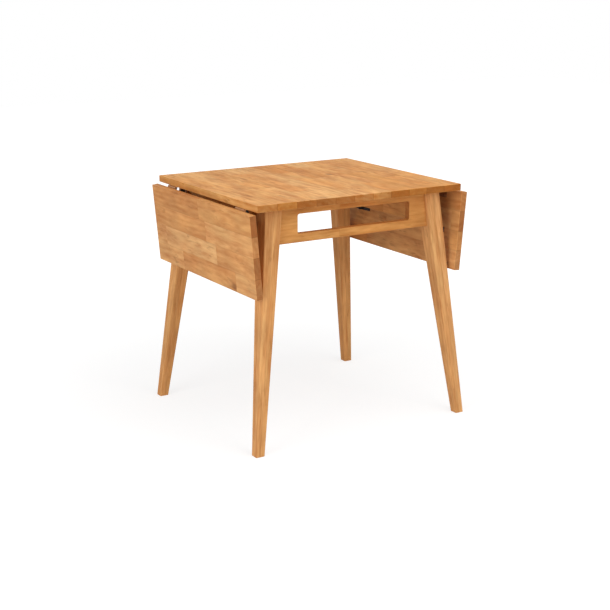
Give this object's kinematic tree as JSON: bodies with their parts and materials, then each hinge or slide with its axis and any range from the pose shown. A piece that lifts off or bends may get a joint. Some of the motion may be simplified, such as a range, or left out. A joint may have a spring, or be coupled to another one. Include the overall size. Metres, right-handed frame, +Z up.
{
  "type": "butterfly folding table",
  "caption": "Square wooden drop-leaf table on splayed tapered legs; a hinged leaf on each side lifts level with the top on folding stays, and each end apron has a long open slot.",
  "frame": {"origin": "on the floor, under the middle of the table", "axes": "+Z up, +X towards the right leaf, -Y towards the front apron; both leaves hang at rest"},
  "size_m": [0.7494, 0.658, 0.72],
  "materials": {
    "oiled_wood": "oiled, honey brown",
    "black_steel": "black powder coat",
    "bronzed_steel": "bronzed, brown",
    "zinc_steel": "zinc plated",
    "buffer_rubber": "matt"
  },
  "bodies": {
    "frame": {"back_apron": "oiled_wood", "back_left_corner_brace": "zinc_steel", "back_left_hinge_pin": "bronzed_steel", "back_left_hinge_top_plate": "bronzed_steel", "back_left_leg": "oiled_wood", "back_left_stay_rail_bracket": "black_steel", "back_right_corner_brace": "zinc_steel", "back_right_hinge_pin": "bronzed_steel", "back_right_hinge_top_plate": "bronzed_steel", "back_right_leg": "oiled_wood", "back_right_stay_rail_bracket": "black_steel", "bolt_nuts": "zinc_steel", "bolt_washers": "zinc_steel", "front_apron": "oiled_wood", "front_left_corner_brace": "zinc_steel", "front_left_hinge_pin": "bronzed_steel", "front_left_hinge_top_plate": "bronzed_steel", "front_left_leg": "oiled_wood", "front_left_stay_rail_bracket": "black_steel", "front_right_corner_brace": "zinc_steel", "front_right_hinge_pin": "bronzed_steel", "front_right_hinge_top_plate": "bronzed_steel", "front_right_leg": "oiled_wood", "front_right_stay_rail_bracket": "black_steel", "hanger_bolts": "zinc_steel", "left_rail": "oiled_wood", "right_rail": "oiled_wood", "stay_rail_rivets": "black_steel", "top_clips": "zinc_steel", "top_panel": "oiled_wood"},
    "left_leaf": {"back_left_hinge_leaf_plate": "bronzed_steel", "back_left_stay_leaf_bracket": "black_steel", "front_left_hinge_leaf_plate": "bronzed_steel", "front_left_stay_leaf_bracket": "black_steel", "left_leaf": "oiled_wood", "left_leaf_buffers": "buffer_rubber", "left_stay_leaf_rivets": "black_steel"},
    "back_left_rail_arm": {"back_left_stay_knee_rivet": "black_steel", "back_left_stay_rail_arm": "black_steel"},
    "back_left_leaf_arm": {"back_left_stay_leaf_arm": "black_steel"},
    "right_leaf": {"back_right_hinge_leaf_plate": "bronzed_steel", "back_right_stay_leaf_bracket": "black_steel", "front_right_hinge_leaf_plate": "bronzed_steel", "front_right_stay_leaf_bracket": "black_steel", "right_leaf": "oiled_wood", "right_leaf_buffers": "buffer_rubber", "right_stay_leaf_rivets": "black_steel"},
    "back_right_rail_arm": {"back_right_stay_knee_rivet": "black_steel", "back_right_stay_rail_arm": "black_steel"},
    "back_right_leaf_arm": {"back_right_stay_leaf_arm": "black_steel"},
    "front_left_rail_arm": {"front_left_stay_knee_rivet": "black_steel", "front_left_stay_rail_arm": "black_steel"},
    "front_left_leaf_arm": {"front_left_stay_leaf_arm": "black_steel"},
    "front_right_rail_arm": {"front_right_stay_knee_rivet": "black_steel", "front_right_stay_rail_arm": "black_steel"},
    "front_right_leaf_arm": {"front_right_stay_leaf_arm": "black_steel"}
  },
  "joints": [
    {"name": "left_leaf_fold", "type": "hinge", "parent": "frame", "child": "left_leaf", "pos_m": [-0.3505, 0, 0.6955], "axis": [0, 1, 0], "range_deg": [0, 94.96]},
    {"name": "right_leaf_fold", "type": "hinge", "parent": "frame", "child": "right_leaf", "pos_m": [0.3505, 0, 0.6955], "axis": [0, -1, 0], "range_deg": [0, 94.96]},
    {"name": "front_left_rail_arm_turn", "type": "hinge", "parent": "frame", "child": "front_left_rail_arm", "pos_m": [-0.306, -0.20002, 0.607], "axis": [0, 1, 0], "range_deg": [-50.32, 0]},
    {"name": "front_left_leaf_arm_turn", "type": "hinge", "parent": "left_leaf", "child": "front_left_leaf_arm", "pos_m": [-0.33353, -0.20002, 0.56949], "axis": [0, 1, 0], "range_deg": [0, 16.26]},
    {"name": "front_right_rail_arm_turn", "type": "hinge", "parent": "frame", "child": "front_right_rail_arm", "pos_m": [0.306, -0.20002, 0.607], "axis": [0, -1, 0], "range_deg": [-50.32, 0]},
    {"name": "front_right_leaf_arm_turn", "type": "hinge", "parent": "right_leaf", "child": "front_right_leaf_arm", "pos_m": [0.33353, -0.20002, 0.56949], "axis": [0, -1, 0], "range_deg": [0, 16.26]},
    {"name": "back_left_rail_arm_turn", "type": "hinge", "parent": "frame", "child": "back_left_rail_arm", "pos_m": [-0.306, 0.20002, 0.607], "axis": [0, 1, 0], "range_deg": [-50.32, 0]},
    {"name": "back_left_leaf_arm_turn", "type": "hinge", "parent": "left_leaf", "child": "back_left_leaf_arm", "pos_m": [-0.33353, 0.20002, 0.56949], "axis": [0, 1, 0], "range_deg": [0, 16.26]},
    {"name": "back_right_rail_arm_turn", "type": "hinge", "parent": "frame", "child": "back_right_rail_arm", "pos_m": [0.306, 0.20002, 0.607], "axis": [0, -1, 0], "range_deg": [-50.32, 0]},
    {"name": "back_right_leaf_arm_turn", "type": "hinge", "parent": "right_leaf", "child": "back_right_leaf_arm", "pos_m": [0.33353, 0.20002, 0.56949], "axis": [0, -1, 0], "range_deg": [0, 16.26]}
  ],
  "couplings": [
    {"joint": "front_left_rail_arm_turn", "follows": "left_leaf_fold", "ratio": -0.52978},
    {"joint": "front_left_leaf_arm_turn", "follows": "left_leaf_fold", "ratio": 0.17112},
    {"joint": "front_right_rail_arm_turn", "follows": "right_leaf_fold", "ratio": -0.52978},
    {"joint": "front_right_leaf_arm_turn", "follows": "right_leaf_fold", "ratio": 0.17112},
    {"joint": "back_left_rail_arm_turn", "follows": "left_leaf_fold", "ratio": -0.52978},
    {"joint": "back_left_leaf_arm_turn", "follows": "left_leaf_fold", "ratio": 0.17112},
    {"joint": "back_right_rail_arm_turn", "follows": "right_leaf_fold", "ratio": -0.52978},
    {"joint": "back_right_leaf_arm_turn", "follows": "right_leaf_fold", "ratio": 0.17112}
  ]
}
